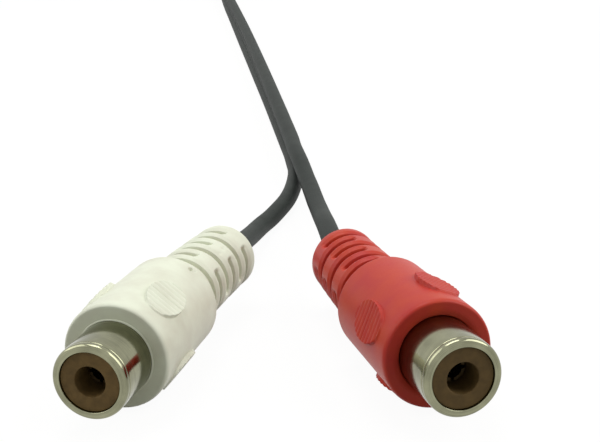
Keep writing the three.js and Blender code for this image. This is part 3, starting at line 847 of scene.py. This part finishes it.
def web_surface(lead, routes):
    """The web: a squared tube carried along the middle between the strands, from where they were torn apart,
    where it is thin."""
    shares = np.linspace(0, 1, WEB_STEPS)
    edges = []
    for channel in CHANNELS:
        line = evenly(curve_through(routes[channel]), 0.5 * MM)
        line = line[line[:, 1] > lead.web_start]
        places = np.linspace(0, 1, len(line))
        edges.append(np.stack([np.interp(shares, places, axis) for axis in line.T], -1))
    white, red = edges
    middle = (white + red) / 2
    across_pair = unit(red - white)
    up = np.cross(across_pair, unit(np.gradient(middle, axis=0)))
    grow = smooth(0, WEB_TORN_SHARE, shares)[None, :, None]
    thickness = lead.web_half_thickness * (WEB_TORN_THICKNESS + (1 - WEB_TORN_THICKNESS) * grow)
    turns = full_turn(16)[:, None, None]
    ring = middle + lead.web_half_width * squared(np.sin(turns)) * across_pair
    return capped(ring + thickness * squared(np.cos(turns)) * up, middle)


# Finishes


def node(tree, kind, inputs=None, **settings):
    """A shader node with its settings, and its inputs set or linked by name or number."""
    made = tree.nodes.new(kind)
    for key, value in settings.items():
        setattr(made, key, value)
    for key, value in (inputs or {}).items():
        if isinstance(value, NodeSocket):
            tree.links.new(value, made.inputs[key])
        else:
            made.inputs[key].default_value = value
    return made


def new_group(name, **inputs):
    """An empty node group that puts out a colour, a roughness and a normal. Its inputs are vectors where no
    default is given, numbers and colours."""
    group = bpy.data.node_groups.new(name, "ShaderNodeTree")
    for label, value in inputs.items():
        kind = "Vector" if value is None else "Float" if isinstance(value, float) else "Color"
        title = label.replace("_", " ")
        socket = group.interface.new_socket(title, in_out="INPUT", socket_type=f"NodeSocket{kind}")
        if value is not None:
            socket.default_value = value
    for label, kind in (("Color", "Color"), ("Roughness", "Float"), ("Normal", "Vector")):
        group.interface.new_socket(label, in_out="OUTPUT", socket_type=f"NodeSocket{kind}")
    return group, group.nodes.new("NodeGroupInput").outputs, group.nodes.new("NodeGroupOutput").inputs


def calculated(tree, operation, *values):
    """What a Math node makes of its values."""
    return node(tree, "ShaderNodeMath", dict(enumerate(values)), operation=operation).outputs[0]


def remapped(tree, value, low, high, to_low=0.0, to_high=1.0):
    """A value's stretch from low to high carried over to another."""
    return node(tree, "ShaderNodeMapRange", {0: value, 1: low, 2: high, 3: to_low, 4: to_high}).outputs[0]


def noise(tree, vector, scale, detail):
    """Cloudy noise."""
    inputs = {"Vector": vector, "Scale": scale, "Detail": detail}
    return node(tree, "ShaderNodeTexNoise", inputs).outputs["Fac"]


def in_millimetres(tree, vector):
    """A place in metres turned to millimetres."""
    return node(tree, "ShaderNodeVectorMath", {0: vector, "Scale": 1 / MM}, operation="SCALE").outputs[0]


def tinted(tree, share, first, second):
    """The first colour, and the second one by its share."""
    return node(tree, "ShaderNodeMix", {0: share, 6: first, 7: second}, data_type="RGBA").outputs[2]


def put_out(group, given, result, colour, marks, spread):
    """A group's colour, its roughness spread by its marks, and the normal of the bumps that they make, whose
    height is given in millimetres."""
    varied = remapped(group, marks, 0.3, 0.7, -spread, spread)
    height = calculated(group, "MULTIPLY", given["Bump"], MM)
    bump = node(group, "ShaderNodeBump", {"Height": marks, "Distance": height, "Strength": 1.0})
    group.links.new(colour, result["Color"])
    group.links.new(calculated(group, "ADD", varied, given["Roughness"]), result["Roughness"])
    group.links.new(bump.outputs[0], result["Normal"])
    return group


def moulded_group():
    """Moulded vinyl: a cloudy tone, fine grain that is also the bump, and rare dark specks. Sizes are in
    millimetres."""
    group, g, result = new_group(
        "Moulded vinyl",
        Vector=None,
        Tone=(0.8, 0.8, 0.7, 1),
        Shade=(0.7, 0.7, 0.6, 1),
        Dirt=(0.2, 0.18, 0.14, 1),
        Cloud_size=3.0,
        Grain_size=0.12,
        Specks=0.02,
        Roughness=0.45,
        Bump=0.006,
    )
    place = in_millimetres(group, g["Vector"])
    cloud = noise(group, place, calculated(group, "DIVIDE", 1.0, g["Cloud size"]), 4.0)
    grain = noise(group, place, calculated(group, "DIVIDE", 1.0, g["Grain size"]), 3.0)
    cells = node(group, "ShaderNodeTexVoronoi", {"Vector": place, "Scale": 0.55}, feature="F1").outputs
    near = remapped(group, cells["Distance"], 0.03, 0.09, 1.0, 0.0)
    chance = node(group, "ShaderNodeSeparateColor", {0: cells["Color"]}).outputs[0]
    speck = calculated(group, "MULTIPLY", near, calculated(group, "LESS_THAN", chance, g["Specks"]))
    toned = tinted(group, remapped(group, cloud, 0.35, 0.68), g["Tone"], g["Shade"])
    return put_out(group, g, result, tinted(group, speck, toned, g["Dirt"]), grain, 0.05)


def turned_group():
    """Turned or drawn metal: fine lines round the piece from its map, with faint cloudy tarnish."""
    group, g, result = new_group(
        "Turned metal",
        Map=None,
        Vector=None,
        Tone=(0.5, 0.5, 0.45, 1),
        Tarnish=(0.35, 0.34, 0.26, 1),
        Lines=160.0,
        Roughness=0.2,
        Bump=0.0012,
    )
    stretch = node(group, "ShaderNodeCombineXYZ", {0: 3.0, 1: g["Lines"], 2: 1.0}).outputs[0]
    along = node(group, "ShaderNodeVectorMath", {0: g["Map"], 1: stretch}, operation="MULTIPLY").outputs[0]
    marks = noise(group, along, 1.0, 3.0)
    cloud = noise(group, in_millimetres(group, g["Vector"]), 0.45, 5.0)
    stain = remapped(group, calculated(group, "MULTIPLY", cloud, marks), 0.12, 0.36)
    return put_out(group, g, result, tinted(group, stain, g["Tone"], g["Tarnish"]), marks, 0.06)


GROUPS = {}


def group_named(name):
    """The shared node group of that name, made when it is first asked for."""
    makers = {"moulded": moulded_group, "turned": turned_group}
    if name not in GROUPS:
        GROUPS[name] = makers[name]()
    return GROUPS[name]


def finish_material(name, group_name, inputs, **shader):
    """A material whose colour, roughness and normal come from a shared group, and plain shader values."""
    material = bpy.data.materials.new(name)
    material.use_nodes = True
    tree = material.node_tree
    principled = tree.nodes["Principled BSDF"]
    where = node(tree, "ShaderNodeTexCoord").outputs
    group = node(tree, "ShaderNodeGroup", node_tree=group_named(group_name))
    tree.links.new(where["Object"], group.inputs["Vector"])
    if "Map" in group.inputs:
        surface = node(tree, "ShaderNodeUVMap", uv_map="surface").outputs[0]
        tree.links.new(surface, group.inputs["Map"])
    for key, value in inputs.items():
        group.inputs[key].default_value = value
    tree.links.new(group.outputs["Color"], principled.inputs["Base Color"])
    tree.links.new(group.outputs["Roughness"], principled.inputs["Roughness"])
    tree.links.new(group.outputs["Normal"], principled.inputs["Normal"])
    for key, value in shader.items():
        principled.inputs[key.replace("_", " ")].default_value = value
    return material


def vinyl(name, tone, shade, roughness=0.42, gloss=0.3, metallic=0.0, **inputs):
    """Soft moulded vinyl, or a bare metal with the same clouds where metallic is 1."""
    values = {"Tone": (*tone, 1), "Shade": (*shade, 1), "Roughness": roughness}
    values.update({key.replace("_", " "): value for key, value in inputs.items()})
    return finish_material(name, "moulded", values, Specular_IOR_Level=gloss, Metallic=metallic)


def metal(name, tone, tarnish, roughness):
    """Plated, drawn or turned metal."""
    values = {"Tone": (*tone, 1), "Tarnish": (*tarnish, 1), "Roughness": roughness}
    return finish_material(name, "turned", values, Metallic=1.0)


def shaded(tone, share):
    """The tone made darker by a share."""
    return tuple(value * share for value in tone)


# Stage

WHITE = (1, 1, 1, 1)
FLOOR_TONE = (0.34, 0.34, 0.325, 1)
# Strength of the floor's glow and its share of the floor, both for the background's rays
GLOW_LEVEL = 1.18
GLOW_SHARE = 0.8
LAMP_TARGET = (0, 0.01, 0.006)
# Each lamp's name, the setting of its power, its side and its place
LAMPS = (
    ("left_lamp", "left_power", 0.5, (-0.5, 0.02, 0.42)),
    ("right_lamp", "right_power", 0.5, (0.5, 0.02, 0.42)),
    ("top_lamp", "top_power", 0.34, (-0.05, 0.2, 0.66)),
)


def camera_matrix(stage):
    """The camera's place and turn: it looks along Y, down by its pitch, and is rolled about its line of
    view."""
    pitch, roll = stage.camera_pitch, stage.camera_roll
    forward = Vector((0, math.cos(pitch), -math.sin(pitch)))
    right = Vector((1, 0, 0))
    up = right.cross(forward)
    rolled_right = right * math.cos(roll) + up * math.sin(roll)
    rolled_up = up * math.cos(roll) - right * math.sin(roll)
    turned = Matrix((rolled_right, rolled_up, -forward)).transposed().to_4x4()
    return Matrix.Translation(stage.camera_place) @ turned


def background_rays(tree):
    """1 for the rays that see the background: from the camera, and reflected or refracted ones."""
    rays = node(tree, "ShaderNodeLightPath").outputs
    seen = calculated(tree, "MAXIMUM", rays["Is Camera Ray"], rays["Is Glossy Ray"])
    return calculated(tree, "MAXIMUM", seen, rays["Is Transmission Ray"])


def floor_material():
    """Pale floor that keeps a soft shadow, and glows white for the background's rays."""
    material = bpy.data.materials.new("pale_floor")
    material.use_nodes = True
    tree = material.node_tree
    tree.nodes.remove(tree.nodes["Principled BSDF"])
    share = calculated(tree, "MULTIPLY", background_rays(tree), GLOW_SHARE)
    matt = node(tree, "ShaderNodeBsdfDiffuse", {"Color": FLOOR_TONE})
    glow = node(tree, "ShaderNodeEmission", {"Color": WHITE, "Strength": GLOW_LEVEL})
    mixed = node(tree, "ShaderNodeMixShader", {0: share, 1: matt.outputs[0], 2: glow.outputs[0]})
    tree.links.new(mixed.outputs[0], tree.nodes["Material Output"].inputs["Surface"])
    return material


def lamp(name, watts, size, place):
    """A square soft lamp that is turned to LAMP_TARGET."""
    data = bpy.data.lights.new(name, "AREA")
    data.energy = watts
    data.size = size
    made = bpy.data.objects.new(name, data)
    bpy.context.scene.collection.objects.link(made)
    made.location = place
    made.rotation_euler = (Vector(LAMP_TARGET) - Vector(place)).to_track_quat("-Z", "Y").to_euler()


class ADAPTER_OT_stage(Operator):
    """Make the camera, the pale floor, the lamps and the room's light"""

    bl_idname = "adapter.stage"
    bl_label = "Stage"

    def execute(self, context):
        stage = context.scene.adapter_stage
        scene = context.scene
        data = bpy.data.cameras.new("camera")
        data.lens = stage.lens
        data.sensor_width = 36
        data.clip_start = 0.005
        data.clip_end = 50
        camera = bpy.data.objects.new("camera", data)
        scene.collection.objects.link(camera)
        camera.matrix_world = camera_matrix(stage)
        scene.camera = camera
        scene.view_settings.view_transform = "Standard"
        half = stage.floor_size / 2
        corners = [(-half, -half, 0), (half, -half, 0), (half, half, 0), (-half, half, 0)]
        mesh = bpy.data.meshes.new("floor")
        mesh.from_pydata(corners, [], [(0, 1, 2, 3)])
        mesh.materials.append(floor_material())
        floor = bpy.data.objects.new("floor", mesh)
        scene.collection.objects.link(floor)
        for name, setting, side, place in LAMPS:
            lamp(name, getattr(stage, setting), side, place)
        world = bpy.data.worlds.new("room")
        world.use_nodes = True
        scene.world = world
        tree = world.node_tree
        tree.nodes.remove(tree.nodes["Background"])
        white = node(tree, "ShaderNodeBackground", {"Color": WHITE, "Strength": 1.0})
        room = node(tree, "ShaderNodeBackground", {"Color": WHITE, "Strength": stage.world_level})
        shown = {0: background_rays(tree), 1: room.outputs[0], 2: white.outputs[0]}
        chosen = node(tree, "ShaderNodeMixShader", shown)
        tree.links.new(chosen.outputs[0], tree.nodes["World Output"].inputs["Surface"])
        return {"FINISHED"}


# Pieces

PINS = [f"plug_pin_{number}" for number in range(1, 6)]


def refinish(name, material):
    """A solid that stays gets the material."""
    materials = frame["nodes"][name].data.materials
    materials.clear()
    materials.append(material)


class ADAPTER_OT_plug(Operator):
    """Make the plug's boot, shell and pins"""

    bl_idname = "adapter.plug"
    bl_label = "Five-pin plug"

    def execute(self, context):
        scene = context.scene
        plug, lead, tones = scene.adapter_plug, scene.adapter_lead, scene.adapter_finishes
        black = vinyl("black_moulding", tones.black, shaded(tones.black, 0.75), 0.5, 0.35, Grain_size=0.16)
        # The nickel tone holds painted shade: it is darker than bare plating, standing in for the dim room
        # that the metal reflects.
        plating = metal("plug_plating", tones.nickel, shaded(tones.nickel, 0.7), 0.22)
        skin("plug_boot", plug_boot_surface(plug, lead), "black_plastic", black)
        skin("plug_shell", plug_shell_surface(plug), "nickel", plating)
        for pin, turn in zip(PINS, np.radians(np.linspace(-90, 90, len(PINS)))):
            skin(pin, pin_surface(plug, turn), "nickel", plating, False)
        refinish("plug_insert", black)
        return {"FINISHED"}


class ADAPTER_OT_lead(Operator):
    """Make the two strands and the web that joins them"""

    bl_idname = "adapter.lead"
    bl_label = "Twin lead"

    def execute(self, context):
        scene = context.scene
        sizes, lead, plug = scene.adapter_sockets, scene.adapter_lead, scene.adapter_plug
        tones = scene.adapter_finishes
        shade = shaded(tones.lead, 0.75)
        jacket = vinyl("lead_jacket", tones.lead, shade, 0.6, 0.11, Grain_size=0.1, Bump=0.008)
        routes = {channel: strand_route(channel, sizes, lead, plug) for channel in CHANNELS}
        web = dress(mesh_piece("lead_web", web_surface(lead, routes), False), "lead_vinyl", jacket)
        for channel in CHANNELS:
            path = evenly(curve_through(routes[channel]), 1.0 * MM)
            tube = swept(path, lead.strand_radius, 24)
            strand = skin(f"{channel}_strand", tube, "lead_vinyl", jacket, False)
        return {"FINISHED"}


class ADAPTER_OT_boots(Operator):
    """Make the boots of both sockets"""

    bl_idname = "adapter.boots"
    bl_label = "Boots"

    def execute(self, context):
        sizes, tones = context.scene.adapter_sockets, context.scene.adapter_finishes
        ivory = vinyl("ivory_vinyl", tones.ivory, tones.ivory_shade, gloss=0.25)
        red = vinyl("red_vinyl", tones.red, tones.red_shade, gloss=0.2, Specks=0.0)
        for channel, material in (("white", ivory), ("red", red)):
            skin(f"{channel}_boot", phono_boot(channel, sizes), f"{channel}_vinyl", material)
        return {"FINISHED"}


class ADAPTER_OT_shells(Operator):
    """Make the plated shells and the insulators in them"""

    bl_idname = "adapter.shells"
    bl_label = "Shells and insulators"

    def execute(self, context):
        sizes, tones = context.scene.adapter_sockets, context.scene.adapter_finishes
        # The nickel tone holds painted shade: it is darker than bare plating, standing in for the dim room
        # that the metal reflects.
        plating = metal("shell_plating", tones.nickel, shaded(tones.nickel, 0.6), 0.14)
        for channel, depth in (("white", 1.25), ("red", 0.9)):
            tone = shaded(tones.phenolic, depth)
            name = f"{channel}_phenolic"
            phenolic = vinyl(name, tone, shaded(tone, 0.7), 0.6, 0.2, Cloud_size=0.9, Grain_size=0.07)
            skin(f"{channel}_shell", phono_shell(channel, sizes), "nickel", plating)
            skin(f"{channel}_insulator", phono_insulator(channel, sizes), "phenolic", phenolic)
        return {"FINISHED"}


class ADAPTER_OT_inside(Operator):
    """Finish the solids that stay: contacts, lugs, wires, inner moulds and crimps"""

    bl_idname = "adapter.inside"
    bl_label = "Inner pieces"

    def execute(self, context):
        tones = context.scene.adapter_finishes
        brass = vinyl("contact_brass", tones.brass, shaded(tones.brass, 0.6), 0.4, metallic=1.0)
        copper = vinyl("bare_copper", tones.copper, shaded(tones.copper, 0.75), 0.35, metallic=1.0)
        milky = vinyl("milky_moulding", tones.milky, shaded(tones.milky, 0.88), 0.3)
        finishes = {
            "contact": brass,
            "ground_lug": brass,
            "inner_mould": milky,
            "screen_wire": copper,
            "crimp": copper,
            "white_core": vinyl("white_core_jacket", tones.ivory, tones.ivory_shade),
            "red_core": vinyl("red_core_jacket", tones.red, tones.red_shade),
        }
        for name in frame["nodes"]:
            for part, material in finishes.items():
                if part in name:
                    refinish(name, material)
        return {"FINISHED"}


class ADAPTER_PT_panel(Panel):
    """Lists the steps that make the adapter lead"""

    bl_label = "Adapter Lead"
    bl_idname = "ADAPTER_PT_panel"
    bl_space_type = "VIEW_3D"
    bl_region_type = "UI"
    bl_category = "Adapter Lead"

    def draw(self, context):
        for operator in OPERATORS:
            self.layout.operator(operator.bl_idname)


SETTINGS = {
    "adapter_sockets": SocketSizes,
    "adapter_lead": LeadSizes,
    "adapter_plug": PlugSizes,
    "adapter_finishes": Finishes,
    "adapter_stage": StageSizes,
}
OPERATORS = (
    ADAPTER_OT_stage,
    ADAPTER_OT_plug,
    ADAPTER_OT_lead,
    ADAPTER_OT_boots,
    ADAPTER_OT_shells,
    ADAPTER_OT_inside,
)


def register():
    for group in (*SETTINGS.values(), *OPERATORS, ADAPTER_PT_panel):
        bpy.utils.register_class(group)
    for name, group in SETTINGS.items():
        setattr(bpy.types.Scene, name, PointerProperty(type=group))


def unregister():
    for name in SETTINGS:
        delattr(bpy.types.Scene, name)
    for group in reversed((*SETTINGS.values(), *OPERATORS, ADAPTER_PT_panel)):
        bpy.utils.unregister_class(group)


def main():
    register()
    bpy.ops.adapter.stage()
    bpy.ops.adapter.plug()
    bpy.ops.adapter.lead()
    bpy.ops.adapter.boots()
    bpy.ops.adapter.shells()
    bpy.ops.adapter.inside()


if __name__ == "__main__":
    main()
